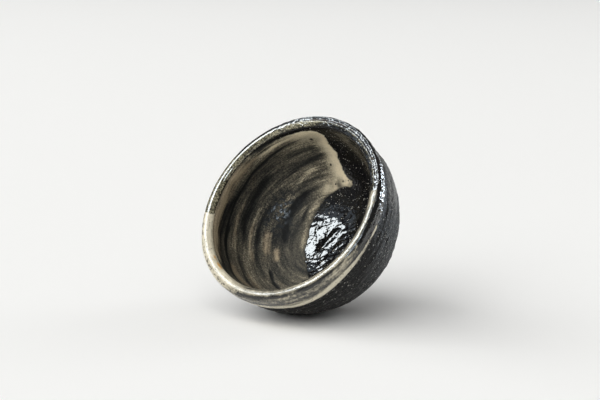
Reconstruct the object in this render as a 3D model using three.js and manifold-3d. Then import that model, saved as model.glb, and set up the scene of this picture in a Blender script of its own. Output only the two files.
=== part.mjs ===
// Sake cup: a small thrown bowl with a rolled lip on a luted foot ring, coated inside and out.
// Millimetres, +Z up the bowl's axis, origin at the centre of the foot's resting face.
// Brushed cream slip covers part of the inside and of the lip, gloss black glaze the rest of both,
// and a matt black glaze the outside down to a line above the foot, which is left as bare clay.
import * as THREE from "three";
import { mergeVertices } from "three/addons/utils/BufferGeometryUtils.js";
import Module from "manifold-3d";

const wasm = await Module();
wasm.setup();

// Overall size
const HEIGHT = 38;
const RIM_RADIUS = 33;

// Rolled lip
const LIP_THICKNESS = 4.2;
const LIP_CREST_HEIGHT = 1.7;
const LIP_SKIRT_HEIGHT = 4;
const LIP_STEP = 1.5;
const LIP_SKIRT_POWER = 3;

// The lip hangs lower round one azimuth, in degrees, and draws the wall below down with it
const LIP_SAG = 3.4;
const LIP_SAG_AZIMUTH = 229;
const LIP_SAG_POWER = 12;
const LIP_SAG_REACH = 9;

// Outside of the bowl
const BELLY_SWELL = 0.15;
const BELLY_DROP = 11.2;
const BELLY_POWER = 1.75;
const GLAZE_LINE_RADIUS = 22.9;
const GLAZE_LINE_RISE = 2.2;

// Inside of the bowl
const FLOOR_THICKNESS = 6.5;
const WALL_POWER = 3;
const WELL_POWER = 1.9;

// Foot ring
const FOOT_HEIGHT = 5;
const FOOT_TOP_RADIUS = 18.3;
const FOOT_TAPER = 0.8;
const FOOT_WIDTH = 4.6;
const FOOT_CHAMFER = 0.6;
const FOOT_LEDGE = 1.2;

// Slip and glaze coats, the gap where they are bonded to the clay, and the seam between two coats
const COAT_THICKNESS = 0.6;
const BOND_GAP = 0.2;
const SEAM_GAP = 0.3;

// Edge of the brushed slip inside, as azimuth in degrees and share of the mouth's radius.
// It falls from the lip down the right wall, turns at a tip, crosses the well and climbs out again.
const SLIP_EDGE = [
  [30, 1.3],
  [28, 0.94],
  [21, 0.77],
  [11, 0.69],
  [25, 0.61],
  [65, 0.41],
  [123, 0.25],
  [191, 0.38],
  [220, 0.68],
  [234, 0.95],
  [238, 1.3],
];
const SLIP_EDGE_STEPS = 60;

// Azimuths in degrees between which the lip is slipped, counted counter-clockwise
const RIM_SLIP_START = 129;
const RIM_SLIP_END = 315;

// Facets round the axis and along each stretch of the profile
const FACETS = 48;
const WALL_STEPS = 10;
const CREST_STEPS = 8;
const SKIRT_STEPS = 5;
const BELLY_STEPS = 9;
const SECTOR_STEPS = 24;

// Places that follow from the sizes above
const mouthRadius = RIM_RADIUS - LIP_THICKNESS;
const lipRadius = RIM_RADIUS - LIP_THICKNESS / 2;
const lipZ = HEIGHT - LIP_CREST_HEIGHT;
const wellZ = FOOT_HEIGHT + FLOOR_THICKNESS;
const waistRadius = RIM_RADIUS - LIP_STEP;
const waistZ = lipZ - LIP_SKIRT_HEIGHT;
const bellyRadius = waistRadius + BELLY_SWELL;
const bellyZ = HEIGHT - BELLY_DROP;
const glazeLineZ = FOOT_HEIGHT + GLAZE_LINE_RISE;
const cutterReach = 2 * (RIM_RADIUS + HEIGHT);

const point = (radius, z) => new THREE.Vector2(radius, z);
const steps = (count, place) => Array.from({ length: count + 1 }, (_, i) => place(i / count));
const polar = (degrees, radius) => {
  const angle = THREE.MathUtils.degToRad(degrees);
  return new THREE.Vector2(radius * Math.cos(angle), radius * Math.sin(angle));
};

// Stretches of the finished surface, in order from the well over the lip to the glaze line outside

function insideStretch() {
  const depth = lipZ - wellZ;
  const endAngle = Math.acos((SEAM_GAP / depth) ** (WALL_POWER / 2));
  return steps(WALL_STEPS, (share) => {
    const angle = share * endAngle;
    const radius = mouthRadius * Math.sin(angle) ** (2 / WELL_POWER);
    return point(radius, lipZ - depth * Math.cos(angle) ** (2 / WALL_POWER));
  });
}

function lipStretch() {
  const halfWidth = LIP_THICKNESS / 2;
  const crest = steps(CREST_STEPS, (share) => {
    const angle = Math.PI * (1 - share);
    return point(lipRadius + halfWidth * Math.cos(angle), lipZ + LIP_CREST_HEIGHT * Math.sin(angle));
  });
  const skirt = steps(SKIRT_STEPS, (share) => {
    const angle = (share * Math.PI) / 2;
    const radius = waistRadius + LIP_STEP * Math.cos(angle) ** (2 / LIP_SKIRT_POWER);
    return point(radius, lipZ - LIP_SKIRT_HEIGHT * Math.sin(angle) ** (2 / LIP_SKIRT_POWER));
  });
  return [...crest, ...skirt.slice(1)];
}

function outsideStretch() {
  const topZ = waistZ - SEAM_GAP;
  const below = bellyRadius - GLAZE_LINE_RADIUS;
  return steps(BELLY_STEPS, (share) => {
    const z = topZ + share * (glazeLineZ - topZ);
    const radius =
      z > bellyZ
        ? bellyRadius - BELLY_SWELL * ((z - bellyZ) / (topZ - bellyZ)) ** 2
        : bellyRadius - below * ((bellyZ - z) / (bellyZ - glazeLineZ)) ** BELLY_POWER;
    return point(radius, z);
  });
}

// Each point of a stretch with the normal that points away from the clay.
function skin(points) {
  return points.map((at, i) => {
    const before = points[Math.max(i - 1, 0)];
    const after = points[Math.min(i + 1, points.length - 1)];
    const along = after.clone().sub(before).normalize();
    const onAxis = at.x === 0;
    return { at, normal: onAxis ? point(0, 1) : point(-along.y, along.x) };
  });
}

const inset = (stretch, depth) =>
  stretch.map(({ at, normal }) => at.clone().addScaledVector(normal, -depth));

const insideSkin = skin(insideStretch());
const lipSkin = skin(lipStretch());
const outsideSkin = skin(outsideStretch());

// Solids

// Lowers the lip's skirt and the wall under it on the sagging side. The inside stays as thrown.
function sagged(geometry) {
  const places = geometry.attributes.position;
  const toward = THREE.MathUtils.degToRad(LIP_SAG_AZIMUTH);
  for (let i = 0; i < places.count; i += 1) {
    const [x, y, z] = [places.getX(i), places.getY(i), places.getZ(i)];
    const nearness = ((1 + Math.cos(Math.atan2(y, x) - toward)) / 2) ** LIP_SAG_POWER;
    const above = (lipZ - z) / LIP_SKIRT_HEIGHT;
    const below = 1 - (waistZ - z) / LIP_SAG_REACH;
    const share = THREE.MathUtils.clamp(Math.min(above, below), 0, 1);
    if (Math.hypot(x, y) > lipRadius - LIP_THICKNESS / 4) {
      places.setZ(i, z - LIP_SAG * nearness * share);
    }
  }
  return geometry;
}

// Turns a profile about Z. The profile runs with the material on its right.
function turned(profile) {
  const geometry = new THREE.LatheGeometry(profile.slice().reverse(), FACETS);
  return sagged(geometry.rotateX(Math.PI / 2));
}

function solidOf(geometry) {
  geometry.deleteAttribute("normal");
  geometry.deleteAttribute("uv");
  const merged = mergeVertices(geometry, 1e-4);
  const corners = merged.index.array;
  const triVerts = [];
  for (let i = 0; i < corners.length; i += 3) {
    const [a, b, c] = corners.slice(i, i + 3);
    if (a !== b && b !== c && c !== a) {
      triVerts.push(a, b, c);
    }
  }
  const vertProperties = new Float32Array(merged.attributes.position.array);
  const mesh = new wasm.Mesh({ numProp: 3, vertProperties, triVerts: new Uint32Array(triVerts) });
  return new wasm.Manifold(mesh);
}

function geometryOf(solid) {
  const { vertProperties, triVerts } = solid.getMesh();
  const geometry = new THREE.BufferGeometry();
  geometry.setAttribute("position", new THREE.BufferAttribute(vertProperties, 3));
  geometry.setIndex(new THREE.BufferAttribute(triVerts, 1));
  geometry.computeVertexNormals();
  return geometry;
}

// A coat along one stretch of the surface, turned all the way round.
function coat(stretch) {
  const face = inset(stretch, 0);
  const back = inset(stretch, COAT_THICKNESS).reverse();
  const touchesAxis = face[0].x === 0;
  return turned(touchesAxis ? [...face, ...back] : [...face, ...back, face[0].clone()]);
}

// An upright cutter from a plan outline, taller than the cup.
function cutter(outline) {
  const options = { depth: cutterReach, bevelEnabled: false };
  const geometry = new THREE.ExtrudeGeometry(new THREE.Shape(outline), options);
  return solidOf(geometry.translate(0, 0, -cutterReach / 2));
}

// Plan outline of the slipped side of the bowl, its brushed edge moved out by a margin.
function slipOutline(margin) {
  const edge = new THREE.SplineCurve(
    SLIP_EDGE.map(([azimuth, share]) => polar(azimuth, share * mouthRadius)),
  );
  const brushed = steps(SLIP_EDGE_STEPS, (share) => {
    const along = edge.getTangent(share);
    return edge.getPoint(share).add(point(-along.y, along.x).multiplyScalar(margin));
  });
  const first = SLIP_EDGE[0][0];
  const last = SLIP_EDGE.at(-1)[0];
  const outside = steps(SECTOR_STEPS, (share) => polar(last + share * (first - last), cutterReach));
  return [...brushed, ...outside];
}

// Plan outline of the slipped sector of the lip, its two ends moved out by a margin.
function rimOutline(margin) {
  const slack = THREE.MathUtils.radToDeg(margin / lipRadius);
  const start = RIM_SLIP_START - slack;
  const sweep = RIM_SLIP_END + slack - start;
  const arc = steps(SECTOR_STEPS, (share) => polar(start + share * sweep, cutterReach));
  return [point(0, 0), ...arc];
}

function clayBody() {
  const depth = COAT_THICKNESS + BOND_GAP;
  const surface = [insideSkin, lipSkin, outsideSkin].flatMap((stretch) => inset(stretch, depth));
  const base = [point(FOOT_TOP_RADIUS + FOOT_LEDGE, FOOT_HEIGHT), point(0, FOOT_HEIGHT)];
  return turned([...surface, ...base]);
}

function footRing() {
  const outer = FOOT_TOP_RADIUS - FOOT_TAPER;
  const inner = FOOT_TOP_RADIUS - FOOT_WIDTH;
  const profile = [
    point(inner, FOOT_HEIGHT),
    point(FOOT_TOP_RADIUS, FOOT_HEIGHT),
    point(outer, FOOT_CHAMFER),
    point(outer - FOOT_CHAMFER, 0),
    point(inner + FOOT_CHAMFER, 0),
    point(inner, FOOT_CHAMFER),
    point(inner, FOOT_HEIGHT),
  ];
  return turned(profile);
}

const insideCoat = solidOf(coat(insideSkin));
const lipCoat = solidOf(coat(lipSkin));

const cup = new THREE.Group();

function piece(name, geometry, color, roughness) {
  const material = new THREE.MeshStandardMaterial({ color, roughness, metalness: 0 });
  const mesh = new THREE.Mesh(geometry, material);
  mesh.name = name;
  cup.add(mesh);
}

piece("clay_body", clayBody(), 0x3b332c, 0.9);
piece("foot_ring", footRing(), 0x41382f, 0.9);
piece("outer_glaze", coat(outsideSkin), 0x262523, 0.7);
piece("rim_slip", geometryOf(lipCoat.intersect(cutter(rimOutline(0)))), 0xcbc0aa, 0.45);
piece("rim_glaze", geometryOf(lipCoat.subtract(cutter(rimOutline(SEAM_GAP)))), 0x3d3b2c, 0.2);
piece("inner_slip", geometryOf(insideCoat.intersect(cutter(slipOutline(0)))), 0x8f8575, 0.6);
piece("inner_glaze", geometryOf(insideCoat.subtract(cutter(slipOutline(SEAM_GAP)))), 0x0d0d0d, 0.1);

export default cup;
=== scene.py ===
"""Looks of a hand-thrown sake cup: brushed cream slip and black glaze on dark clay."""
import math

import bpy
import numpy as np
from mathutils import Matrix, Vector


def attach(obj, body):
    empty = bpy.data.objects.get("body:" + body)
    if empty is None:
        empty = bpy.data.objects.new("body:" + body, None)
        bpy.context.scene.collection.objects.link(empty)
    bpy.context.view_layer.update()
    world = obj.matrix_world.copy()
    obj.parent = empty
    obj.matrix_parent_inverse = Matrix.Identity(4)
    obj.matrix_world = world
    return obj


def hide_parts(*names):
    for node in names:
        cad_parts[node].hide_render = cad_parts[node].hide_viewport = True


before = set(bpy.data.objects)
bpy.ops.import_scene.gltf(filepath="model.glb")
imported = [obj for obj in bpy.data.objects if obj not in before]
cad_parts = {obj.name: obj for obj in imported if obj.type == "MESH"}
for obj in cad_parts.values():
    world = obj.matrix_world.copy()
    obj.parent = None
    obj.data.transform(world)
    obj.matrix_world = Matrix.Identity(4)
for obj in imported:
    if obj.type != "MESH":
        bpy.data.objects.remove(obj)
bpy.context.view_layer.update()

# Sizes in millimetres, in the part's own frame: Z up the axis, origin at the foot's centre
MM = 0.001
RIM_RADIUS = 33.0
HEIGHT = 38.0
LIP_THICKNESS = 4.2
LIP_CREST_HEIGHT = 1.7
LIP_SKIRT_HEIGHT = 4.0
LIP_STEP = 1.5
LIP_SKIRT_POWER = 3.0
LIP_SAG = 3.4
LIP_SAG_AZIMUTH = 229.0
LIP_SAG_POWER = 12.0
LIP_SAG_REACH = 9.0
BELLY_SWELL = 0.15
BELLY_DROP = 11.2
BELLY_POWER = 1.75
GLAZE_LINE_RADIUS = 22.9
GLAZE_LINE_Z = 7.2
WELL_Z = 11.5
WALL_POWER = 3.0
WELL_POWER = 1.9
FOOT_HEIGHT = 5.0
FOOT_TOP_RADIUS = 18.3
FOOT_TAPER = 0.8
FOOT_WIDTH = 4.6
FOOT_CHAMFER = 0.6
FOOT_LEDGE = 1.2
FOOT_SOFT = 0.25
COAT_THICKNESS = 0.6
BOND_GAP = 0.2
SEAM_GAP = 0.3
CLAY_INSET = 0.85

# Places that follow from the sizes above
MOUTH_RADIUS = RIM_RADIUS - LIP_THICKNESS
LIP_RADIUS = RIM_RADIUS - LIP_THICKNESS / 2
LIP_Z = HEIGHT - LIP_CREST_HEIGHT
WAIST_RADIUS = RIM_RADIUS - LIP_STEP
WAIST_Z = LIP_Z - LIP_SKIRT_HEIGHT
WALL_TOP_Z = WAIST_Z - SEAM_GAP
BELLY_RADIUS = WAIST_RADIUS + BELLY_SWELL
BELLY_Z = HEIGHT - BELLY_DROP

# The lower body sits a little off the axis, and two ranges of height fade that in and out
LEAN = 0.35
LEAN_AZIMUTH = 35.0
LEAN_FROM = (4.0, 9.0)
LEAN_TO = (24.0, 33.0)

# Ends of the lip's section, sunk into the wall: out and down from the mouth, in and down from the waist
MOUTH_TUCK = [(0.35, 1.3), (0.1, 0.6)]
WAIST_TUCK = (0.5, 0.1)
# Crest of the lip, flattened on the right: azimuths in degrees where that fades out and in again,
# and a groove and a fall inwards, measured across from the crest's middle
FLAT_CREST_Z = 37.55
FLAT_CREST_SOFT = 0.01
FLAT_CREST_OUT = (34, 62)
FLAT_CREST_IN = (300, 330)
CREST_GROOVE = 0.16
CREST_GROOVE_AT = 0.45
CREST_GROOVE_WIDTH = 0.42
CREST_FALL = 0.32
CREST_FALL_AT = -0.35
CREST_FALL_FADE = (-2.1, -1.3)
LIP_LUMPS = 0.12
LIP_PEBBLES = 0.08

# Glaze pooled in the well, which climbs on the near side, and the radii where the well becomes wall
POOL_Z = 12.1
POOL_SOFT = 0.02
POOL_CLIMB = 0.17
POOL_CLIMB_FROM = -2.2
WELL_EDGE = (7.0, 17.0)
# Relief inside: broad waves, lumps, ripples and a ridge in the well, grain and rings on the wall
BROAD_WAVES = 0.10
WELL_LUMPS = 0.17
WELL_RIPPLES = 0.11
NEAR_RIPPLES = 0.08
RIPPLE_COS = 0.78
RIPPLE_SIN = 0.63
WELL_RIDGE = 0.65
RIDGE_AT = (0.5, -1.3)
RIDGE_LENGTH = 5.2
RIDGE_WIDTH = 1.7
WALL_GRAIN = 0.03
WALL_RINGS = 0.05
RELIEF_FADE = 4.0
# The inside coats turn outwards at the lip
TUCK_FROM = 1.3
TUCK_TO = 0.1
TUCK_OUT = 0.12
# How deep the slip's back lies, and how far slip and glaze reach past the torn edge
SLIP_DEPTH = 0.35
SLIP_MARGIN = 0.7
GLAZE_MARGIN = 1.4
# Front of the slip, off the glaze: below it outside the edge, rising over the edge, thicker where
# it is light, and even at the lip
SLIP_SUNK = 0.12
SLIP_RISE = 0.30
SLIP_THICKER = 0.10
SLIP_AT_LIP = 0.04

# Torn edge of the brushed slip inside: azimuth in degrees, distance along the wall from the well's middle
SLIP_EDGE = [
    (86, 47), (82, 44.0), (70, 43.2), (58, 42.8), (45, 42.3), (38, 41.8), (33, 40.6), (30, 38.8),
    (30.5, 36.0), (31, 33.6), (28.6, 31.9), (27, 30.3), (27, 27.7), (25, 25.3), (22, 23.5), (18, 22.1),
    (14, 21.6), (10.5, 20.5), (12, 19.6), (19, 18.8), (30, 17.2), (43, 15.3), (57, 13.0), (74, 10.4),
    (92, 8.8), (125, 7.2), (152, 8.1), (182, 9.9), (200, 12.4), (208, 14.0), (219, 21.0), (231, 34.0),
    (237, 47),
]
# The edge is closed by points far outside the wall, at steps in degrees
BEYOND_WALL = 60
BEYOND_STEP = 12
# Brush strokes inside: azimuth span in degrees, place along the wall at both ends, half width, lightness
DARK_STROKES = [
    (42, 108, 39.0, 36.1, 0.38, -1.15),
    (100, 165, 36.0, 36.9, 0.40, -0.95),
    (48, 112, 37.4, 34.9, 1.30, -0.10),
    (108, 176, 36.9, 41.8, 0.75, -0.46),
    (112, 180, 38.7, 43.0, 0.40, -0.48),
    (120, 182, 34.9, 38.4, 0.45, -0.46),
    (80, 142, 31.8, 28.9, 1.20, -0.48),
    (32, 76, 30.2, 27.2, 0.80, -0.42),
    (64, 138, 19.6, 14.6, 0.95, -1.05),
    (70, 94, 15.2, 12.6, 0.60, -0.36),
    (43, 68, 33.5, 32.8, 0.80, -0.28),
    (43, 78, 23.2, 21.5, 0.80, -0.22),
    (48, 84, 20.0, 18.5, 0.90, -0.26),
    (44, 82, 41.3, 41.2, 0.30, -0.36),
    (50, 78, 39.8, 39.6, 0.30, -0.26),
    (95, 165, 24.4, 24.6, 0.90, -0.22),
    (150, 188, 31.4, 32.2, 0.60, -0.26),
    (166, 194, 21.5, 24.4, 0.48, -1.05),
]
LIGHT_STROKES = [
    (88, 166, 41.6, 42.4, 2.30, 0.72),
    (62, 104, 41.0, 41.5, 1.60, 0.40),
    (38, 84, 40.4, 40.6, 0.70, 0.26),
    (46, 98, 26.2, 19.7, 0.90, 0.27),
    (44, 72, 32.4, 31.6, 0.70, 0.14),
    (104, 152, 33.0, 32.7, 0.80, 0.24),
    (106, 160, 27.4, 26.4, 0.80, 0.22),
    (121, 149, 21.8, 21.2, 1.10, 0.52),
    (140, 158, 17.9, 18.4, 1.10, 0.50),
    (158, 186, 36.2, 34.0, 1.40, 0.32),
    (166, 188, 30.0, 29.6, 0.90, 0.20),
]
STROKE_WOBBLE = 0.5
# Pinholes in the slip: azimuth in degrees, place along the wall, and size
PINHOLES = [
    (42, 37.2, 0.40),
    (24, 20.6, 0.28),
    (33, 19.4, 0.20),
    (69, 19.6, 0.25),
    (36, 26.0, 0.30),
    (18, 21.2, 0.18),
]
PINHOLE_DEPTH = 0.8
# Lightness of the slip where it is brushed thin and where it is thick
GROUND_TONE = 0.36
CLEAN_TONE = 0.96
# Part of the slip that looks wet: azimuth in degrees and place along the wall, each with a width
WET_AZIMUTH = (103, 25)
WET_PLACE = (20.8, 5.5)

# Azimuths in degrees between which the lip is slipped
RIM_SLIP_START = 129.0
RIM_SLIP_END = 315.0
# On the lip's outer face and on the roll under it the slip stops sooner
FACE_SLIP_END = 280.0
ROLL_SLIP_END = 294.0
# Shares of the lip's section: the outer face, the roll, and three dark lines on the near side
FACE_FROM = (0.50, 0.58)
ROLL_AT = 0.83
CREST_LINE = (0.23, 0.032)
FACE_LINE = (0.45, 0.035)
ROLL_LINE = (0.70, 0.035)
RUST_LINE = (0.18, 0.06)
OLIVE_LINE = (0.30, 0.035)
LIP_SLIP_MARGIN = 0.8
LIP_GLAZE_MARGIN = 1.2
# Fronts of the lip's coats: how deep the slip is sunk at its ends and how much it rises from there,
# and how far below the plain surface slip and glaze lie
LIP_SLIP_SUNK = 0.14
LIP_SLIP_RISE = 0.2
LIP_SLIP_BELOW = 0.05
LIP_GLAZE_BELOW = 0.07

# Relief outside: throwing rings, lumps, grit and pits
OUTSIDE_RINGS = 0.24
OUTSIDE_LUMPS = 0.22
OUTSIDE_GRIT = 0.12
OUTSIDE_PITS = 0.22
# The outside coat starts just under the lip, and ends in a wavy line above the foot
OUTSIDE_OVERLAP = 0.15
GLAZE_LINE_WAVE = 0.7
GLAZE_LINE_LIFT = 0.3
GLAZE_LINE_FADE = 6.0

# Section of the clay: a flat spot in the well's middle, an overlap under the lip, and the ledge's corner
CLAY_FLAT = 0.6
CLAY_OVERLAP = 0.6
CLAY_CORNER = (0.3, 0.2)
# Relief of the bare clay and of the foot
BARE_FADE = 0.6
CLAY_ROUGHNESS = 0.10
CLAY_RINGS = 0.06
FOOT_TRIM = 0.07
FOOT_CHIPS = 0.3

# Mesh fineness
PROFILE_STEPS = 3001
CREST_STEPS = 200
SKIRT_STEPS = 120
INSIDE_CELLS = 280
RIM_COLUMNS = 800
RIM_ROWS = 54
OUTSIDE_COLUMNS = 480
OUTSIDE_ROWS = 92
OUTSIDE_FLAT_ROWS = 5
CLAY_COLUMNS = 240
CLAY_ROWS = 260
CLAY_WALL_STEPS = 90
CLAY_CREST_STEPS = 24
CLAY_OUTSIDE_STEPS = 60
FOOT_COLUMNS = 240
FOOT_ROWS = 80
# Cells of the noise lattice, and the most that its finer layers may have round the axis
LATTICE = 256
MOST_LATTICE = 4096


# Curves and seeded noise


def ease(value, low, high):
    """0 up to low, 1 from high on, and a smooth step between."""
    share = np.clip((value - low) / (high - low), 0.0, 1.0)
    return share * share * (3.0 - 2.0 * share)


def bell(value, middle, width):
    """1 at the middle, and less on both sides."""
    return np.exp(-(((value - middle) / width) ** 2))


def above_zero(value, soft):
    """A value's part above zero, with a soft corner."""
    return (value + np.sqrt(value * value + soft)) / 2


def noise(x, y, seed, wrap=LATTICE):
    """Smooth noise from -1 to 1 on a lattice that repeats every wrap cells of x."""
    table = np.random.default_rng(seed).uniform(-1.0, 1.0, (wrap, LATTICE))
    column = np.floor(x)
    row = np.floor(y)
    across = ease(x - column, 0.0, 1.0)
    along = ease(y - row, 0.0, 1.0)
    left = column.astype(int) % wrap
    right = (left + 1) % wrap
    low = row.astype(int) % LATTICE
    high = (low + 1) % LATTICE
    first = table[left, low] * (1 - across) + table[right, low] * across
    second = table[left, high] * (1 - across) + table[right, high] * across
    return first * (1 - along) + second * along


def layered(x, y, seed, octaves=2, wrap=LATTICE):
    """Noise with finer and weaker noise laid over it."""
    total = np.zeros_like(x)
    weight = 0.0
    for k in range(octaves):
        step = 2 ** k
        total += noise(x * step, y * step, seed + k, min(wrap * step, MOST_LATTICE)) / step
        weight += 1.0 / step
    return total / weight


def round_noise(azimuth, place_along, cells, size, seed, octaves=2):
    """Noise round the axis, with a number of cells per turn and a cell size along the profile."""
    return layered(azimuth / (2 * np.pi) * cells, place_along / size, seed, octaves, cells)


# Profile of the finished surface


def distance_along(radius, height):
    steps = np.hypot(np.diff(radius), np.diff(height))
    return np.concatenate([[0], np.cumsum(steps)])


def resample(radius, height, count):
    length = distance_along(radius, height)
    at = np.linspace(0, length[-1], count)
    return np.interp(at, length, radius), np.interp(at, length, height), at


def inside_profile():
    turn = np.linspace(0, np.pi / 2, PROFILE_STEPS)
    radius = MOUTH_RADIUS * np.sin(turn) ** (2 / WELL_POWER)
    height = LIP_Z - (LIP_Z - WELL_Z) * np.cos(turn) ** (2 / WALL_POWER)
    return radius, height, distance_along(radius, height)


INSIDE_R, INSIDE_Z, INSIDE_S = inside_profile()
WALL_LENGTH = INSIDE_S[-1]


def inside_at(length):
    radius = np.interp(length, INSIDE_S, INSIDE_R)
    height = np.interp(length, INSIDE_S, INSIDE_Z)
    return radius, height


def rim_profile():
    """Lip section from inside over the crest to the waist, tucked into the wall at both ends."""
    crest = np.linspace(np.pi, 0, CREST_STEPS)
    crest_r = LIP_RADIUS + LIP_THICKNESS / 2 * np.cos(crest)
    crest_z = LIP_Z + LIP_CREST_HEIGHT * np.sin(crest)
    skirt = np.linspace(0, np.pi / 2, SKIRT_STEPS)[1:]
    skirt_r = WAIST_RADIUS + LIP_STEP * np.cos(skirt) ** (2 / LIP_SKIRT_POWER)
    skirt_z = LIP_Z - LIP_SKIRT_HEIGHT * np.sin(skirt) ** (2 / LIP_SKIRT_POWER)
    tuck = np.array(MOUTH_TUCK)
    radius = np.concatenate([MOUTH_RADIUS + tuck[:, 0], crest_r, skirt_r, [WAIST_RADIUS - WAIST_TUCK[0]]])
    height = np.concatenate([LIP_Z - tuck[:, 1], crest_z, skirt_z, [WAIST_Z - WAIST_TUCK[1]]])
    return resample(radius, height, RIM_ROWS)


def outside_radius(height):
    height = np.minimum(height, WALL_TOP_Z)
    above = BELLY_RADIUS - BELLY_SWELL * (np.maximum(height - BELLY_Z, 0) / (WALL_TOP_Z - BELLY_Z)) ** 2
    fall = (np.maximum(BELLY_Z - height, 0) / (BELLY_Z - GLAZE_LINE_Z)) ** BELLY_POWER
    below = BELLY_RADIUS - (BELLY_RADIUS - GLAZE_LINE_RADIUS) * fall
    return np.where(height > BELLY_Z, above, below)


def sag(azimuth, height):
    """How much lower the lip and the wall below it hang on the near side."""
    near = ((1 + np.cos(azimuth - math.radians(LIP_SAG_AZIMUTH))) / 2) ** LIP_SAG_POWER
    above = (LIP_Z - height) / LIP_SKIRT_HEIGHT
    below = 1 - (WAIST_Z - height) / LIP_SAG_REACH
    return LIP_SAG * near * np.clip(np.minimum(above, below), 0, 1)


def place(radius, azimuth, height, leaning=False):
    points = np.stack([radius * np.cos(azimuth), radius * np.sin(azimuth), height], -1)
    if leaning:
        share = (1 - ease(height, *LEAN_TO)) * ease(height, *LEAN_FROM)
        points[..., 0] += LEAN * share * math.cos(math.radians(LEAN_AZIMUTH))
        points[..., 1] += LEAN * share * math.sin(math.radians(LEAN_AZIMUTH))
    return points


def around(columns):
    return np.arange(columns) / columns * 2 * np.pi


# Meshes


def shell(name, front, back, keep, wrap, values):
    """A closed coat: the kept cells of a grid in front, the same cells behind, and walls at the edges."""
    rows, columns = front.shape[:2]
    number = np.arange(rows * columns).reshape(rows, columns)
    right = np.roll(number, -1, 1) if wrap else number[:, 1:]
    here = number if wrap else number[:, :-1]
    quads = np.stack([here[:-1], right[:-1], right[1:], here[1:]], -1)[keep].reshape(-1, 4)
    if wrap:
        quads = quads[:, ::-1]
    edges = np.concatenate([quads[:, [k, (k + 1) % 4]] for k in range(4)])
    total = rows * columns
    forward = edges[:, 0].astype(np.int64) * total + edges[:, 1]
    reverse = edges[:, 1].astype(np.int64) * total + edges[:, 0]
    border = edges[~np.isin(forward, reverse)]
    walls = np.stack([border[:, 1], border[:, 0], border[:, 0] + total, border[:, 1] + total], -1)
    faces = np.concatenate([quads, quads[:, ::-1] + total, walls])
    points = np.concatenate([front.reshape(-1, 3), back.reshape(-1, 3)])
    used, faces = np.unique(faces, return_inverse=True)
    faces = faces.reshape(-1, 4)
    doubled = {}
    for key, value in values.items():
        flat = value.reshape(total, -1)
        doubled[key] = np.concatenate([flat, flat])[used]
    return solid(name, points[used], faces.tolist(), doubled)


def lathe(name, points, values, ring):
    """A turned solid: a ring's section closes on itself, and any other has a flat cap at each end."""
    rows, columns = points.shape[:2]
    number = np.arange(rows * columns).reshape(rows, columns)
    here = number if ring else number[:-1]
    below = np.roll(number, -1, 0) if ring else number[1:]
    quads = np.stack([here, below, np.roll(below, -1, 1), np.roll(here, -1, 1)], -1)
    faces = quads.reshape(-1, 4).tolist()
    if not ring:
        faces += [number[0].tolist(), number[-1, ::-1].tolist()]
    flat = {key: value.reshape(rows * columns, -1) for key, value in values.items()}
    return solid(name, points.reshape(-1, 3), faces, flat)


def solid(name, points, faces, values):
    mesh = bpy.data.meshes.new(name)
    mesh.from_pydata((points * MM).tolist(), [], faces)
    for key, value in values.items():
        if value.shape[1] == 1:
            attribute = mesh.attributes.new(key, "FLOAT", "POINT")
            attribute.data.foreach_set("value", value.astype(np.float32).ravel())
        else:
            attribute = mesh.attributes.new(key, "FLOAT_VECTOR", "POINT")
            attribute.data.foreach_set("vector", value.astype(np.float32).ravel())
    mesh.polygons.foreach_set("use_smooth", np.ones(len(faces), bool))
    mesh.update()
    made = bpy.data.objects.new(name, mesh)
    bpy.context.scene.collection.objects.link(made)
    return made


def normals(points, wrap):
    if wrap:
        along = np.roll(points, -1, 1) - np.roll(points, 1, 1)
    else:
        along = np.gradient(points, axis=1)
    across = np.gradient(points, axis=0)
    direction = np.cross(along, across)
    return direction / np.maximum(np.linalg.norm(direction, axis=-1, keepdims=True), 1e-9)


def streak_place(azimuth, length, turn_size):
    """Place for brushed noise: a small turn size draws the noise out round the axis."""
    return np.stack([turn_size * np.cos(azimuth), turn_size * np.sin(azimuth), length], -1)


def cell_corners(values, beside):
    return np.stack([values[:-1], beside[:-1], beside[1:], values[1:]])


# Inside of the bowl, on a square grid drawn out to a disc


def disc_grid(cells):
    side = np.linspace(-1, 1, cells + 1)
    x, y = np.meshgrid(side, side)
    wide = np.abs(x) >= np.abs(y)
    radius = np.where(wide, np.abs(x), np.abs(y))
    beside = np.pi / 4 * y / np.where(x == 0, 1, x)
    above = np.pi / 2 - np.pi / 4 * x / np.where(y == 0, 1, y)
    turn = np.where(wide, beside, above)
    turn = np.where(wide & (x < 0), turn + np.pi, turn)
    turn = np.where(~wide & (y < 0), turn + np.pi, turn)
    return turn % (2 * np.pi), radius


def edge_distance(azimuth, length):
    """Distance inside the brushed edge, measured on the bowl laid flat."""
    first = SLIP_EDGE[0][0]
    last = SLIP_EDGE[-1][0]
    beyond = [(a, BEYOND_WALL) for a in range(last, first, -BEYOND_STEP)]
    outline = [(s * math.cos(math.radians(a)), s * math.sin(math.radians(a))) for a, s in SLIP_EDGE + beyond]
    x = length * np.cos(azimuth)
    y = length * np.sin(azimuth)
    nearest = np.full(x.shape, np.inf)
    inside = np.zeros(x.shape, bool)
    for (ax, ay), (bx, by) in zip(outline, outline[1:] + outline[:1]):
        dx = bx - ax
        dy = by - ay
        share = np.clip(((x - ax) * dx + (y - ay) * dy) / (dx * dx + dy * dy), 0, 1)
        nearest = np.minimum(nearest, np.hypot(x - ax - share * dx, y - ay - share * dy))
        crosses = (ay > y) != (by > y)
        if dy != 0:
            inside ^= crosses & (x < ax + dx * (y - ay) / dy)
    return np.where(inside, nearest, -nearest)


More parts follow.
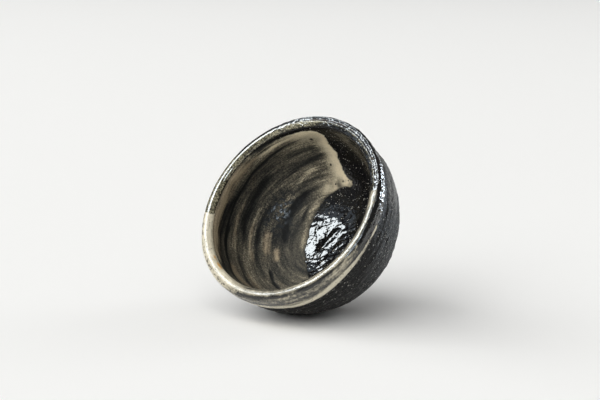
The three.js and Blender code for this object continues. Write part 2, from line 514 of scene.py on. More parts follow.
def strokes(azimuth, length, listed, seed):
    """Sum of brush strokes that wobble, break up and thin out at their ends."""
    degrees = np.degrees(azimuth)
    wobble = STROKE_WOBBLE * round_noise(azimuth, length, cells=20, size=6.0, seed=seed)
    breaks = 0.75 + 0.5 * round_noise(azimuth, length, cells=24, size=1.0, seed=seed + 5)
    total = np.zeros_like(azimuth)
    for start, end, first, last, width, change in listed:
        share = (degrees - start) / (end - start)
        middle = first + (last - first) * np.clip(share, 0, 1)
        across = bell(length + wobble, middle, width)
        total += change * across * breaks * ease(share, -0.08, 0.2) * (1 - ease(share, 0.75, 1.08))
    return total


def inside_relief(x, y, azimuth, length, height, in_well):
    """How far the surface stands off the plain wall."""
    depth = POOL_Z + POOL_CLIMB * np.maximum(POOL_CLIMB_FROM - y, 0) - height
    rise = BROAD_WAVES * layered(x / 9, y / 9, seed=11) + above_zero(depth, POOL_SOFT)
    rise += in_well * WELL_LUMPS * layered(x / 3.0, y / 2.4, seed=21, octaves=3)
    choppy = in_well * (WELL_RIPPLES + NEAR_RIPPLES * ease(-y, 3.4, 5.6))
    level = RIPPLE_COS * x - RIPPLE_SIN * y
    upward = RIPPLE_SIN * x + RIPPLE_COS * y
    bent = 0.8 * noise(x / 3, y / 3, seed=25)
    rise += choppy * layered(level / 2.2, upward / 0.7 + bent, seed=31)
    ridge_x, ridge_y = RIDGE_AT
    rise += WELL_RIDGE * np.exp(-(((x - ridge_x) / RIDGE_LENGTH) ** 4)) * bell(y, ridge_y, RIDGE_WIDTH)
    on_wall = 1 - in_well
    rise += on_wall * WALL_GRAIN * layered(x / 1.3, y / 1.3 + height / 1.3, seed=35, octaves=1)
    rise += on_wall * WALL_RINGS * round_noise(azimuth, length, cells=10, size=1.6, seed=41)
    return rise * (1 - ease(length, WALL_LENGTH - RELIEF_FADE, WALL_LENGTH))


def brushed_values(x, y, azimuth, length, radius, inset, fine):
    """Lightness and warmth of the brushed slip, and where it is thick and clean."""
    degrees = np.degrees(azimuth)
    middle = round_noise(azimuth, length, cells=9, size=1.9, seed=61)
    coarse = round_noise(azimuth, length, cells=6, size=4.5, seed=71)
    clean = (1 - ease(inset, 1.0, 9.0)) * (1 - ease(degrees, 40, 75)) * ease(length, 15.0, 18.0)
    dark = strokes(azimuth, length, DARK_STROKES, seed=91)
    light = strokes(azimuth, length, LIGHT_STROKES, seed=95)

    # Streaks of three widths, lighter at the right, at the lower left and along the torn edge
    tone = GROUND_TONE + 0.14 * coarse + 0.16 * middle + 0.11 * fine
    tone += 0.08 * (1 - ease(degrees, 48, 105))
    tone += 0.09 * ease(degrees, 112, 150)
    tone += 0.18 * bell(inset, 1.8, 1.1) * (1 - ease(degrees, 110, 190))
    tone += dark * (1 - 0.8 * clean) + light
    tone = tone * (1 - clean) + CLEAN_TONE * clean + 0.06 * clean * middle

    # The clean slip is mottled at its lower tip, and has pinholes
    tip = clean * (1 - ease(length, 20.0, 23.5))
    tone -= tip * (0.16 + 0.30 * layered(x / 1.8, y / 1.8, seed=85))
    for at, far_up, size in PINHOLES:
        gap = np.hypot(np.radians(degrees - at) * radius, length - far_up)
        tone -= PINHOLE_DEPTH * bell(gap, 0.0, size)
    tone = tone * ease(inset, -0.1, 0.6)
    warm = np.clip(2.6 * light + 0.25 * coarse + 0.15, 0, 1) * ease(degrees, 60, 100) + 0.3 * tip
    return tone, warm, clean


def inside_pieces():
    azimuth, share = disc_grid(INSIDE_CELLS)
    length = share * WALL_LENGTH
    radius, height = inside_at(length)
    tuck = ease(length, WALL_LENGTH - TUCK_FROM, WALL_LENGTH - TUCK_TO)
    radius = radius + TUCK_OUT * tuck
    base = place(radius, azimuth, height)
    out = normals(base, False)
    x = base[..., 0]
    y = base[..., 1]
    in_well = 1 - ease(radius, *WELL_EDGE)
    rise = inside_relief(x, y, azimuth, length, height, in_well)

    fine = round_noise(azimuth, length, cells=8, size=0.6, seed=51)
    ragged = 0.45 * layered(x / 1.6, y / 1.6, seed=81, octaves=3) + 0.5 * fine * ease(length, 14, 24)
    inset = edge_distance(azimuth, length) + ragged
    tone, warm, clean = brushed_values(x, y, azimuth, length, radius, inset, fine)

    # The slip dips under the glaze at its edge, and is thicker where it is lighter
    cover = SLIP_RISE * ease(inset, -0.25, 0.9) - SLIP_SUNK
    cover += SLIP_THICKER * tone * ease(inset, 0.3, 1.2)
    cover = cover * (1 - tuck) + SLIP_AT_LIP * tuck
    slip_front = base + out * (rise + cover)[..., None]
    slip_back = base + out * (rise - SLIP_DEPTH)[..., None]
    glaze_front = base + out * rise[..., None]
    glaze_back = base - out * COAT_THICKNESS

    values = {
        "tone": tone,
        "warm": warm,
        "wall": 1 - in_well,
        "calm": np.maximum(clean, 0.34 * (1 - ease(length, 12, 20))),
        "wet": bell(np.degrees(azimuth), *WET_AZIMUTH) * bell(length, *WET_PLACE),
        "streak": streak_place(azimuth, length, 2.5),
    }
    corners = cell_corners(inset[:, :-1], inset[:, 1:])
    slip_keep = corners.max(0) > -SLIP_MARGIN
    glaze_keep = corners.min(0) < GLAZE_MARGIN
    slip = shell("brushed_slip_inside", slip_front, slip_back, slip_keep, False, values)
    glaze = shell("black_glaze_inside", glaze_front, glaze_back, glaze_keep, False, values)
    return slip, glaze


# Lip


def rim_grid():
    radius, height, length = rim_profile()
    azimuth, radius = np.meshgrid(around(RIM_COLUMNS), radius)
    height = np.repeat(height[:, None], RIM_COLUMNS, 1)
    length = np.repeat(length[:, None], RIM_COLUMNS, 1)
    height = height - np.where(radius > LIP_RADIUS, sag(azimuth, height), 0)
    degrees = np.degrees(azimuth)
    flattened = 1 - ease(degrees, *FLAT_CREST_OUT) * (1 - ease(degrees, *FLAT_CREST_IN))
    across = radius - LIP_RADIUS
    drop = above_zero(height - FLAT_CREST_Z, FLAT_CREST_SOFT)
    drop += CREST_GROOVE * bell(across, CREST_GROOVE_AT, CREST_GROOVE_WIDTH)
    drop += CREST_FALL * np.maximum(CREST_FALL_AT - across, 0) * ease(across, *CREST_FALL_FADE)
    return azimuth, radius, height - flattened * drop, length


def rim_zones(degrees, share):
    """The near side, the outer face and the roll under it, each as a share from 0 to 1."""
    near = ease(degrees, 178, 212)
    face = ease(share + near * (0.13 - 0.07 * ease(degrees, 298, 312)), *FACE_FROM)
    roll_width = 0.07 + 0.05 * near + 0.02 * ease(degrees, 240, 265)
    return near, face, bell(share, ROLL_AT, roll_width)


def rim_pebbles(degrees, share):
    """Where the lip is pebbly: on the right, and on the black part of the outer face."""
    outer = ease(share, 0.46, 0.58)
    smooth = ease(degrees, 52, 72) * (1 - ease(degrees, 300, 318))
    return np.maximum(1 - 0.97 * smooth, outer * ease(degrees, 268, 288)) * (1 + 0.8 * outer)


def rim_inset(azimuth, length, zones):
    """Degrees inside the ragged ends of the cream slip."""
    _, face, roll = zones
    degrees = np.degrees(azimuth)
    ragged = 2.2 * layered(length / 1.3, azimuth * 4, seed=121, octaves=3)
    end = RIM_SLIP_END - face * (RIM_SLIP_END - FACE_SLIP_END) + roll * (ROLL_SLIP_END - FACE_SLIP_END)
    return np.minimum(degrees - RIM_SLIP_START, end - degrees) + ragged * (1 + 2 * face)


def rim_tone(azimuth, length, share, zones, inset):
    """Lightness of the cream slip."""
    near, face, roll = zones
    degrees = np.degrees(azimuth)
    smudge = round_noise(azimuth, length, cells=11, size=0.8, seed=131, octaves=3)
    patch = round_noise(azimuth, length, cells=9, size=3.0, seed=141)
    broken = 0.6 + 0.6 * round_noise(azimuth, length, cells=60, size=2.0, seed=151)
    pepper = layered(azimuth * LIP_RADIUS / 0.5, length / 0.5, seed=161)

    # Smeared cream, thinner on the outer face and thick on the roll
    tone = 0.84 + 0.16 * smudge + 0.14 * patch
    tone += face * (-0.40 - 0.14 * near + 0.34 * smudge + 0.16 * patch) - 0.34 * near * (1 - face)
    tone += roll * (0.15 + 0.75 * near)

    # Dark lines along the near side, and dark specks on the left
    tone -= 0.65 * near * broken * bell(share, *CREST_LINE)
    tone -= 0.60 * near * broken * bell(share, *FACE_LINE)
    tone -= 0.5 * near * bell(share, *ROLL_LINE)
    speckled = ease(share, 0.34, 0.46) * (1 - ease(degrees, 200, 228))
    tone -= speckled * (0.06 + 0.7 * ease(pepper, 0.15, 0.6))

    # The slip ends in specks on the face, and in a thin broken line on the roll
    tone += 0.25 * face * ease(degrees, 242, 262)
    ending = near * np.maximum(face, roll) * (1 - ease(inset, 2.0, 24.0))
    tone -= ending * (0.20 + 0.60 * ease(pepper, -0.1, 0.4))
    thin = roll * ease(degrees, 256, 272) * (1 - ease(degrees, 287, 292))
    tone -= thin * np.clip(0.62 + 0.7 * patch, 0.2, 1)
    tone += 0.24 * near * face * (1 - roll) * pepper
    return tone + 0.22 * face * bell(degrees, 267, 9)


def rust_stain(degrees, share):
    return (bell(degrees, 171.5, 5) + 0.6 * bell(degrees, 163, 2.5)) * bell(share, *RUST_LINE)


def olive_band(degrees, share):
    """Where the dark glaze turns olive: a band inside the crest, and a line on the right."""
    over = 0.26 * ease(degrees, 84, 104)
    band = ease(share, 0.08, 0.16) * (1 - ease(share - over, 0.33, 0.42)) * ease(degrees, 14, 40)
    band *= 0.82 * (1 - ease(degrees, 150, 160))
    right = (1 - ease(degrees, 14, 60)) + ease(degrees, 290, 310)
    return band + 0.75 * right * bell(share, *OLIVE_LINE)


def rim_pieces():
    azimuth, radius, height, length = rim_grid()
    base = place(radius, azimuth, height)
    out = -normals(base, True)
    degrees = np.degrees(azimuth)
    share = length / length.max()
    bead = ease(share, 0.05, 0.15) * (1 - ease(share, 0.9, 1.0))
    lumps = round_noise(azimuth, length, cells=26, size=4.0, seed=101)
    small = round_noise(azimuth, length, cells=120, size=1.2, seed=111)
    pebbly = rim_pebbles(degrees, share)
    rise = bead * (LIP_LUMPS * (lumps - 1) + LIP_PEBBLES * pebbly * (small - 1))

    zones = rim_zones(degrees, share)
    inset = rim_inset(azimuth, length, zones)
    mm_in = np.radians(inset) * LIP_RADIUS
    cover = LIP_SLIP_RISE * ease(mm_in, -0.3, 0.9) - LIP_SLIP_SUNK
    slip_front = base + out * (rise + cover * bead - LIP_SLIP_BELOW)[..., None]
    glaze_front = base + out * (rise - LIP_GLAZE_BELOW)[..., None]
    back = base - out * (COAT_THICKNESS + BOND_GAP)
    values = {
        "tone": rim_tone(azimuth, length, share, zones, inset),
        "rust": rust_stain(degrees, share),
        "olive": olive_band(degrees, share),
        "pebbly": pebbly,
        "dull": 1 - ease(degrees, 196, 222),
        "streak": streak_place(azimuth, length, 9.0),
    }
    corners = cell_corners(mm_in, np.roll(mm_in, -1, 1))
    slip_keep = corners.max(0) > -LIP_SLIP_MARGIN
    glaze_keep = corners.min(0) < LIP_GLAZE_MARGIN
    slip = shell("cream_slip_lip", slip_front, back, slip_keep, True, values)
    glaze = shell("olive_glaze_lip", glaze_front, back, glaze_keep, True, values)
    return slip, glaze


# Outside


def outside_relief(azimuth, height):
    rings = round_noise(azimuth, height, cells=3, size=1.5, seed=211, octaves=3)
    lumps = round_noise(azimuth, height, cells=22, size=7.0, seed=221)
    grit = round_noise(azimuth, height, cells=170, size=1.1, seed=231)
    pits = ease(round_noise(azimuth, height, cells=130, size=1.5, seed=241, octaves=1), 0.62, 0.9)
    rise = OUTSIDE_RINGS * rings + OUTSIDE_LUMPS * lumps + OUTSIDE_GRIT * grit - OUTSIDE_PITS * pits
    row = np.arange(OUTSIDE_ROWS)[:, None]
    last = OUTSIDE_ROWS - 1
    upper = ease(row, 0, OUTSIDE_FLAT_ROWS)
    lower = 1 - ease(row, OUTSIDE_ROWS - OUTSIDE_FLAT_ROWS, last)
    return rise * (upper * lower)


def outside_tone(azimuth, height):
    """Streaked black, and on the right grey that is partly scraped and partly a painted sheen, below a band
    of painted shade under the lip.
    """
    degrees = np.degrees(azimuth)
    tone = 0.5 + 0.35 * round_noise(azimuth, height, cells=5, size=1.2, seed=251, octaves=3)
    tone += 0.2 * round_noise(azimuth, height, cells=12, size=6.0, seed=261)
    # On the right, lighter grey: partly scraped streaks, partly a painted sheen of light from the right
    scrape_and_sheen_side = ease(degrees, 285, 335) + 1 - ease(degrees, 4, 50)
    scrape_and_sheen_streaks = 0.76 + 0.40 * round_noise(azimuth, height, cells=9, size=1.4, seed=271, octaves=3)
    tone += scrape_and_sheen_side * ease(height, 8, 24) * scrape_and_sheen_streaks
    # Painted shade under the lip's overhang, on the same side, where the painted sheen stops
    tone -= scrape_and_sheen_side * ease(height, 28.0, 31.0)
    return tone


def outside_piece():
    drop = np.linspace(WAIST_Z + OUTSIDE_OVERLAP, GLAZE_LINE_Z, OUTSIDE_ROWS)
    azimuth, height = np.meshgrid(around(OUTSIDE_COLUMNS), drop)
    wavy = GLAZE_LINE_WAVE * round_noise(azimuth, height * 0, cells=9, size=1.0, seed=201, octaves=3)
    low = 1 - ease(height, GLAZE_LINE_Z, GLAZE_LINE_Z + GLAZE_LINE_FADE)
    height = height + low * (wavy + GLAZE_LINE_LIFT)
    base = place(outside_radius(height), azimuth, height - sag(azimuth, height), True)
    out = -normals(base, True)
    front = base + out * outside_relief(azimuth, height)[..., None]
    back = base - out * COAT_THICKNESS
    values = {"tone": outside_tone(azimuth, height), "streak": streak_place(azimuth, height, 9.0)}
    keep = np.ones((OUTSIDE_ROWS - 1, OUTSIDE_COLUMNS), bool)
    return shell("charcoal_glaze_outside", front, back, keep, True, values)


# Clay


def clay_section():
    """Section from the well's middle over the lip and down to the ledge above the foot."""
    in_r, in_z = inside_at(np.linspace(CLAY_FLAT, WALL_LENGTH, CLAY_WALL_STEPS))
    slope = np.gradient(np.stack([in_r, in_z], -1), axis=0)
    slope /= np.linalg.norm(slope, axis=1, keepdims=True)
    in_r = in_r + CLAY_INSET * slope[:, 1]
    in_z = in_z - CLAY_INSET * slope[:, 0]
    crest = np.linspace(np.pi, 0, CLAY_CREST_STEPS)
    top_r = LIP_RADIUS + (LIP_THICKNESS / 2 - CLAY_INSET) * np.cos(crest)
    top_z = LIP_Z + (LIP_CREST_HEIGHT - CLAY_INSET) * np.sin(crest)
    out_z = np.linspace(WAIST_Z + CLAY_OVERLAP, GLAZE_LINE_Z, CLAY_OUTSIDE_STEPS)
    out_r = outside_radius(out_z) - CLAY_INSET
    shoulder = FOOT_TOP_RADIUS + FOOT_LEDGE
    upper, lower = CLAY_CORNER
    base_r = [shoulder + upper, shoulder - lower, in_r[0]]
    base_z = [FOOT_HEIGHT + upper, FOOT_HEIGHT, FOOT_HEIGHT]
    radius = np.concatenate([in_r, top_r, out_r, base_r])
    height = np.concatenate([in_z, top_z, out_z, base_z])
    return resample(radius, height, CLAY_ROWS)


def clay_piece():
    radius, height, _ = clay_section()
    azimuth, radius = np.meshgrid(around(CLAY_COLUMNS), radius)
    height = np.repeat(height[:, None], CLAY_COLUMNS, 1)
    outer = (radius > LIP_RADIUS - 1.0) & (height < LIP_Z)
    bare = 1 - ease(height, GLAZE_LINE_Z - BARE_FADE, GLAZE_LINE_Z + BARE_FADE)
    bare *= ease(radius, 3.0, 6.0)
    along = height + radius
    rough = CLAY_ROUGHNESS * round_noise(azimuth, along, cells=60, size=1.4, seed=301, octaves=3)
    rough += CLAY_RINGS * round_noise(azimuth, along, cells=3, size=0.8, seed=311)
    radius = radius + bare * rough
    lowered = np.where(outer, height - sag(azimuth, height), height)
    up = bare * np.where(height < FOOT_HEIGHT + 0.2, np.maximum(rough, 0), 0)
    points = place(radius, azimuth, lowered + up, True)
    cloud = round_noise(azimuth, height + radius, cells=30, size=2.0, seed=321, octaves=3)
    tone = 0.5 + 0.4 * cloud * ease(radius, 2.0, 9.0)
    return lathe("clay_bowl", points, {"tone": tone}, False)


def foot_piece():
    outer = FOOT_TOP_RADIUS - FOOT_TAPER
    inner = FOOT_TOP_RADIUS - FOOT_WIDTH
    bevel_top = FOOT_CHAMFER + FOOT_SOFT
    bevel_low = FOOT_CHAMFER - FOOT_SOFT
    section = np.array([
        (inner, FOOT_HEIGHT),
        (FOOT_TOP_RADIUS, FOOT_HEIGHT),
        (outer, bevel_top),
        (outer - FOOT_SOFT, bevel_low),
        (outer - bevel_top, 0),
        (inner + bevel_top, 0),
        (inner + FOOT_SOFT, bevel_low),
        (inner, bevel_top),
        (inner, FOOT_HEIGHT),
    ])
    radius, height, _ = resample(section[:, 0], section[:, 1], FOOT_ROWS + 1)
    azimuth, radius = np.meshgrid(around(FOOT_COLUMNS), radius[:-1])
    height = np.repeat(height[:-1, None], FOOT_COLUMNS, 1)
    out = np.where(radius > (outer + inner) / 2, 1.0, -1.0) * ease(height, 0.0, 0.5)
    trim = FOOT_TRIM * round_noise(azimuth, height, cells=4, size=0.5, seed=401)
    trim += FOOT_TRIM * round_noise(azimuth, height, cells=40, size=1.5, seed=411)
    chips = ease(round_noise(azimuth, height, cells=50, size=2.0, seed=421), 0.5, 0.9)
    chips *= FOOT_CHIPS * (1 - ease(height, 0.2, 1.6))
    points = place(radius + out * (trim - chips), azimuth, height)
    tone = 0.5 + 0.4 * round_noise(azimuth, height, cells=40, size=1.0, seed=431, octaves=3)
    return lathe("foot_of_clay", points, {"tone": tone}, True)


# Materials


class Paint:
    """Builds one procedural material."""

    def __init__(self, name):
        self.made = bpy.data.materials.new(name)
        self.made.use_nodes = True
        self.tree = self.made.node_tree
        self.shader = self.tree.nodes["Principled BSDF"]

    def node(self, kind, **settings):
        new = self.tree.nodes.new(kind)
        for key, value in settings.items():
            setattr(new, key, value)
        return new

    def join(self, source, target):
        """Links a socket to a target, or sets the target to a plain value."""
        if hasattr(source, "node"):
            self.tree.links.new(source, target)
        else:
            target.default_value = source

    def attribute(self, name, output="Fac"):
        return self.node("ShaderNodeAttribute", attribute_name=name).outputs[output]

    def position(self):
        return self.node("ShaderNodeTexCoord").outputs["Object"]

    def noise(self, vector, scale, detail=3.0, rough=0.55):
        new = self.node("ShaderNodeTexNoise")
        self.join(vector, new.inputs["Vector"])
        new.inputs["Scale"].default_value = scale
        new.inputs["Detail"].default_value = detail
        new.inputs["Roughness"].default_value = rough
        return new.outputs["Fac"]

    def cells(self, vector, scale):
        new = self.node("ShaderNodeTexVoronoi")
        self.join(vector, new.inputs["Vector"])
        new.inputs["Scale"].default_value = scale
        return new.outputs["Distance"]

    def specks(self, vector, scale, least, most):
        """Round specks of many sizes: the cells' middles, grown or shrunk by a noise."""
        uneven = self.noise(vector, scale * 0.65, 2.0)
        grown = self.sum(self.cells(vector, scale), self.sum(-0.5, uneven), -1.1)
        return self.span(grown, least, most, 1.0, 0.0)

    def sum(self, first, second, by=1.0):
        """The first value plus the second one times a factor."""
        new = self.node("ShaderNodeMath", operation="MULTIPLY_ADD")
        self.join(second, new.inputs[0])
        new.inputs[1].default_value = by
        self.join(first, new.inputs[2])
        return new.outputs[0]

    def product(self, first, second):
        new = self.node("ShaderNodeMath", operation="MULTIPLY")
        self.join(first, new.inputs[0])
        self.join(second, new.inputs[1])
        return new.outputs[0]

    def span(self, value, low, high, start=0.0, end=1.0):
        """A smooth step from start at low to end at high."""
        new = self.node("ShaderNodeMapRange", interpolation_type="SMOOTHSTEP")
        self.join(value, new.inputs["Value"])
        new.inputs["From Min"].default_value = low
        new.inputs["From Max"].default_value = high
        new.inputs["To Min"].default_value = start
        new.inputs["To Max"].default_value = end
        return new.outputs["Result"]

    def ramp(self, value, stops):
        new = self.node("ShaderNodeValToRGB")
        self.join(value, new.inputs["Fac"])
        band = new.color_ramp
        while len(band.elements) < len(stops):
            band.elements.new(0.5)
        for element, (at, colour) in zip(band.elements, stops):
            element.position = at
            element.color = (*colour, 1.0)
        return new.outputs["Color"]

    def mix(self, share, first, second):
        new = self.node("ShaderNodeMix", data_type="RGBA")
        self.join(share, new.inputs[0])
        for source, target in ((first, new.inputs[6]), (second, new.inputs[7])):
            if isinstance(source, tuple):
                source = (*source, 1.0)
            self.join(source, target)
        return new.outputs[2]

    def bump(self, height, distance):
        new = self.node("ShaderNodeBump")
        new.inputs["Strength"].default_value = 1.0
        new.inputs["Distance"].default_value = distance * MM
        self.join(height, new.inputs["Height"])
        self.join(new.outputs["Normal"], self.shader.inputs["Normal"])

    def set(self, **inputs):
        for key, value in inputs.items():
            self.join(value, self.shader.inputs[key.replace("_", " ")])
        return self.made


def slip_material():
    p = Paint("brushed_slip")
    streak = p.attribute("streak", "Vector")
    place_at = p.position()
    brush = p.sum(-0.5, p.noise(streak, 2.2, 3.0, 0.6))
    hairs = p.product(brush, p.span(p.attribute("calm"), 0.0, 0.5, 0.55, 0.10))
    grain = p.noise(place_at, 2300.0, 2.0, 0.6)
    warm = p.noise(place_at, 160.0, 2.0, 0.5)
    wet = p.attribute("wet")
    rubbed = p.sum(p.span(p.attribute("calm"), 0.0, 0.9, 0.70, 0.25), wet, 0.4)
    rub = p.product(p.sum(-0.5, grain), rubbed)
    shine = p.product(wet, p.span(p.noise(place_at, 620.0, 2.0, 0.6), 0.49, 0.58))
    tone = p.sum(p.sum(p.sum(p.attribute("tone"), hairs), rub), shine, -0.45)
    cream = p.ramp(tone, [
        (0.08, (0.0055, 0.0055, 0.0050)),
        (0.34, (0.030, 0.029, 0.024)),
        (0.58, (0.125, 0.112, 0.082)),
        (0.96, (0.760, 0.665, 0.465)),
    ])
    brown = p.ramp(tone, [
        (0.08, (0.007, 0.006, 0.005)),
        (0.45, (0.080, 0.066, 0.047)),
        (0.95, (0.400, 0.325, 0.215)),
    ])
    share = p.span(p.sum(p.attribute("warm"), p.sum(-0.5, warm), 1.2), 0.25, 0.75)
    colour = p.mix(share, cream, brown)
    rough = p.product(p.sum(tone, grain, 0.6), p.span(wet, 0.05, 0.55, 1.0, 0.12))
    ripple = p.product(p.noise(place_at, 900.0, 1.0, 0.5), wet)
    p.bump(p.sum(rough, ripple, 0.7), 0.16)
    p.set(Specular_IOR_Level=0.25)
    return p.set(Base_Color=colour, Roughness=p.sum(0.75, shine, -0.62))


def glaze_material():
    p = Paint("gloss_black_glaze")
    place_at = p.position()
    dots = p.specks(place_at, 1550.0, 0.02, 0.17)
    cloud = p.noise(place_at, 260.0, 3.0)
    dark = p.mix(p.span(cloud, 0.45, 0.7), (0.004, 0.004, 0.005), (0.009, 0.008, 0.006))
    colour = p.mix(dots, dark, (0.46, 0.44, 0.38))
    ripple = p.noise(place_at, 1000.0, 1.0, 0.5)
    p.bump(p.sum(ripple, dots, 0.5), 0.09)
    p.set(IOR=1.55)
    rough = p.sum(p.span(cloud, 0.3, 0.8, 0.04, 0.10), p.attribute("wall"), 0.12)
    return p.set(Base_Color=colour, Roughness=rough)


def cream_material():
    p = Paint("cream_slip")
    streak = p.attribute("streak", "Vector")
    place_at = p.position()
    brush = p.noise(streak, 1.6, 4.0, 0.6)
    grain = p.noise(place_at, 1300.0, 3.0, 0.6)
    tone = p.sum(p.sum(p.attribute("tone"), p.sum(-0.5, brush), 0.9), p.sum(-0.5, grain), 0.4)
    colour = p.ramp(tone, [
        (0.08, (0.018, 0.018, 0.017)),
        (0.32, (0.115, 0.107, 0.085)),
        (0.58, (0.370, 0.335, 0.250)),
        (0.92, (0.700, 0.645, 0.500)),
    ])
    speck = p.cells(place_at, 1100.0)
    few = p.noise(place_at, 300.0, 2.0)
    spots = p.product(p.span(speck, 0.12, 0.30, 1.0, 0.0), p.span(few, 0.50, 0.58))
    colour = p.mix(spots, colour, (0.065, 0.060, 0.045))
    stain = p.span(p.sum(p.attribute("rust"), p.sum(-0.5, grain), 1.2), 0.3, 0.8)
    colour = p.mix(stain, colour, (0.540, 0.320, 0.110))
    p.bump(p.sum(tone, spots, -0.5), 0.06)
    p.set(IOR=1.56)
    gloss = p.span(tone, 0.2, 0.9, 0.15, 0.08)
    return p.set(Base_Color=colour, Roughness=p.sum(gloss, p.attribute("dull"), 0.22))


def olive_material():
    p = Paint("olive_glaze")
    place_at = p.position()
    cloud = p.noise(place_at, 330.0, 3.0, 0.6)
    grain = p.noise(place_at, 2300.0, 2.0, 0.6)
    lumps = p.noise(place_at, 1050.0, 1.0, 0.5)
    tone = p.sum(p.sum(p.attribute("olive"), p.sum(-0.5, cloud), 0.8), p.sum(-0.5, grain), 2.2)
    colour = p.ramp(tone, [
        (0.25, (0.005, 0.005, 0.005)),
        (0.60, (0.030, 0.028, 0.019)),
        (0.90, (0.120, 0.110, 0.070)),
        (1.00, (0.330, 0.305, 0.205)),
    ])
    spots = p.specks(place_at, 1550.0, 0.02, 0.17)
    colour = p.mix(spots, colour, (0.280, 0.260, 0.190))
    p.bump(p.product(p.sum(lumps, spots, 0.2), p.attribute("pebbly")), 0.22)
    p.set(IOR=1.62)
    return p.set(Base_Color=colour, Roughness=p.span(cloud, 0.3, 0.7, 0.04, 0.09))


def charcoal_material():
    p = Paint("matt_black_glaze")
    streak = p.attribute("streak", "Vector")
    place_at = p.position()
    lines = p.noise(streak, 1.8, 4.0, 0.65)
    grain = p.noise(place_at, 1500.0, 3.0, 0.6)
    tone = p.sum(p.sum(p.attribute("tone"), p.sum(-0.5, lines), 1.6), p.sum(-0.5, grain), 1.3)
    # The lightest greys come only on the right, where they are partly a painted sheen
    colour = p.ramp(p.product(tone, 0.6), [
        (0.15, (0.003, 0.003, 0.003)),
        (0.38, (0.008, 0.008, 0.008)),
        (0.58, (0.065, 0.064, 0.061)),
        (0.92, (0.300, 0.300, 0.290)),
    ])
    # Pale specks: partly grit in the glaze, partly painted glints of the light
    spots = p.specks(place_at, 1250.0, 0.08, 0.22)
    colour = p.mix(spots, colour, (0.340, 0.330, 0.300))
    p.bump(p.sum(tone, grain, 0.6), 0.30)
    p.set(Specular_IOR_Level=0.3)
    return p.set(Base_Color=colour, Roughness=p.span(tone, 0.2, 0.9, 0.42, 0.68))


def clay_material():
    p = Paint("bare_clay")
    place_at = p.position()
    grain = p.noise(place_at, 1200.0, 4.0, 0.65)
    cloud = p.noise(place_at, 150.0, 3.0)
    tone = p.sum(p.attribute("tone"), p.sum(-0.5, grain), 0.8)
    colour = p.ramp(tone, [
        (0.15, (0.030, 0.022, 0.017)),
        (0.55, (0.078, 0.058, 0.044)),
        (0.90, (0.150, 0.115, 0.088)),
    ])
    colour = p.mix(p.span(cloud, 0.5, 0.7), colour, (0.055, 0.043, 0.036))
    p.bump(grain, 0.2)
    return p.set(Base_Color=colour, Roughness=p.span(grain, 0.3, 0.7, 0.75, 0.95))


# Build

slip_in, glaze_in = inside_pieces()
slip_rim, glaze_rim = rim_pieces()
outside = outside_piece()
clay = clay_piece()
foot = foot_piece()
clay_look = clay_material()
PIECES = [
    (clay, "clay_body", "bare_clay", clay_look),
    (foot, "foot_ring", "bare_clay", clay_look),
    (outside, "outer_glaze", "matt_black_glaze", charcoal_material()),
    (slip_rim, "rim_slip", "cream_slip", cream_material()),
    (glaze_rim, "rim_glaze", "olive_glaze", olive_material()),
    (slip_in, "inner_slip", "brushed_slip", slip_material()),
    (glaze_in, "inner_glaze", "gloss_black_glaze", glaze_material()),
]
for piece, node_name, slot_name, look in PIECES:
    piece.data.materials.append(look)
    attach(piece, "root")
    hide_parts(node_name)

# Camera, in the cup's frame: it looks down into the cup, and is rolled because the cup lies tipped

CAMERA_AT = Vector((3.804, -321.309, 385.069)) * MM
RIGHT = Vector((0.67314, -0.54496, -0.49989))
UP = Vector((0.73951, 0.49605, 0.45503))
BACK = Vector((0.0, -0.67598, 0.73692))
LENS = 90.0
SENSOR = 36.0
CLIP_START = 0.01
CLIP_END = 20.0


def from_camera(x, y, z):
    """A direction given as right, up and towards the camera."""
    return (RIGHT * x + UP * y + BACK * z).normalized()


lens = bpy.data.cameras.new("camera")
lens.lens = LENS
lens.sensor_width = SENSOR
lens.clip_start = CLIP_START
lens.clip_end = CLIP_END
camera = bpy.data.objects.new("camera", lens)
turn = Matrix((RIGHT, UP, BACK)).transposed().to_4x4()
camera.matrix_world = Matrix.Translation(CAMERA_AT) @ turn
bpy.context.scene.collection.objects.link(camera)
bpy.context.scene.camera = camera

# Table: a plane that touches the cup's lowest point, on the lower body, and is seen from above only

VIEW_ELEVATION = math.radians(9.3)
TABLE_HALF = 5.0
PAPER = (0.90, 0.905, 0.90, 1.0)
SIGNS = ((-1, -1), (1, -1), (1, 1), (-1, 1))

table_up = UP * math.cos(VIEW_ELEVATION) + BACK * math.sin(VIEW_ELEVATION)
lowest = min(min(table_up.dot(v.co) for v in piece.data.vertices) for piece, *_ in PIECES)
away = table_up.cross(RIGHT)
middle = table_up * lowest
corners = [middle + RIGHT * (TABLE_HALF * a) + away * (TABLE_HALF * b) for a, b in SIGNS]
table_mesh = bpy.data.meshes.new("table")
table_mesh.from_pydata([tuple(c) for c in corners], [], [(0, 1, 2, 3)])
table_mesh.update()
table = bpy.data.objects.new("table", table_mesh)
bpy.context.scene.collection.objects.link(table)
paper = bpy.data.materials.new("paper")
paper.use_nodes = True
tree = paper.node_tree
tree.nodes.clear()
matt = tree.nodes.new("ShaderNodeBsdfDiffuse")
matt.inputs["Color"].default_value = PAPER
clear = tree.nodes.new("ShaderNodeBsdfTransparent")
side = tree.nodes.new("ShaderNodeNewGeometry")
blend = tree.nodes.new("ShaderNodeMixShader")
output = tree.nodes.new("ShaderNodeOutputMaterial")
tree.links.new(side.outputs["Backfacing"], blend.inputs["Fac"])
tree.links.new(matt.outputs["BSDF"], blend.inputs[1])
tree.links.new(clear.outputs["BSDF"], blend.inputs[2])
tree.links.new(blend.outputs["Shader"], output.inputs["Surface"])
table.data.materials.append(paper)

# Light: large panels shade the cup and the table, and small cards are seen only as reflections

SUBJECT = Vector((0.0, 0.0, 0.022))
KEY = (-0.74, 0.67, 0.09)
PANEL_DISTANCE = 12.0
WHITE = (1.0, 1.0, 1.0)
SUNNY = (1.0, 0.99, 0.97)
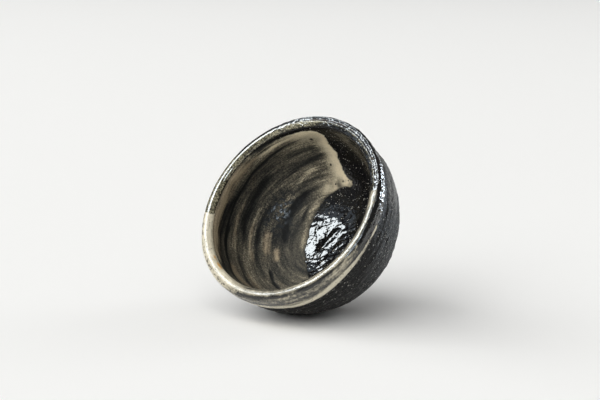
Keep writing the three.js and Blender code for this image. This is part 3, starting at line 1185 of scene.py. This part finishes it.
# Name, direction from the camera's view, side length, power and colour
PANELS = [
    ("key", KEY, 10.0, 560.0, SUNNY),
    ("front", (-0.25, 0.62, 0.74), 12.0, 800.0, SUNNY),
    ("left_front", (-0.60, 0.40, 0.69), 6.0, 260.0, (1.0, 0.99, 0.98)),
    ("left_back", (-0.75, 0.45, -0.48), 8.0, 420.0, WHITE),
    ("side", (0.80, 0.52, -0.30), 6.0, 200.0, WHITE),
]
# Name, direction from the camera's view, distance, direction of the wide side, sides, power and colour
CARDS = [
    ("key_card", (-0.68, 0.69, 0.23), 5.0, BACK, 2.0, 1.8, 200.0, (0.92, 0.98, 1.0)),
    ("front_card", (-0.16, 0.40, 0.90), 5.0, UP, 0.9, 0.8, 55.0, (0.78, 0.90, 1.0)),
    ("sky_card", KEY, 5.5, BACK, 5.5, 4.5, 62.0, (0.72, 0.86, 1.0)),
    ("side_card", (0.74, 0.16, -0.65), 5.0, BACK, 0.7, 0.6, 90.0, (0.80, 0.90, 1.0)),
]


def softbox(name, direction, distance, wide, width, height, power, colour):
    """A rectangular light aimed at the cup, its first side along the wide direction."""
    lamp = bpy.data.lights.new(name, "AREA")
    lamp.shape = "RECTANGLE"
    lamp.size = width
    lamp.size_y = height
    lamp.energy = power
    lamp.color = colour
    box = bpy.data.objects.new(name, lamp)
    tall = direction.cross(wide).normalized()
    level = tall.cross(direction).normalized()
    facing = Matrix((level, tall, direction)).transposed().to_4x4()
    box.matrix_world = Matrix.Translation(SUBJECT + direction * distance) @ facing
    bpy.context.scene.collection.objects.link(box)
    return box


for name, toward, size, power, colour in PANELS:
    panel = softbox(name, from_camera(*toward), PANEL_DISTANCE, BACK, size, size, power, colour)
    panel.visible_glossy = False
for name, toward, distance, wide, width, height, power, colour in CARDS:
    card = softbox(name, from_camera(*toward), distance, wide, width, height, power, colour)
    card.visible_diffuse = False

# Room: dim all round, and dimmer in reflections

ROOM = (0.97, 0.97, 0.96, 1.0)
ROOM_LIGHT = 0.25
ROOM_IN_GLOSS = 0.14

world = bpy.data.worlds.new("studio")
world.use_nodes = True
bpy.context.scene.world = world
room = world.node_tree
sky = room.nodes["Background"]
sky.inputs["Color"].default_value = ROOM
path = room.nodes.new("ShaderNodeLightPath")
dim = room.nodes.new("ShaderNodeMapRange")
dim.inputs["To Min"].default_value = ROOM_LIGHT
dim.inputs["To Max"].default_value = ROOM_IN_GLOSS
room.links.new(path.outputs["Is Glossy Ray"], dim.inputs["Value"])
room.links.new(dim.outputs["Result"], sky.inputs["Strength"])

bpy.context.scene.view_settings.view_transform = "Standard"
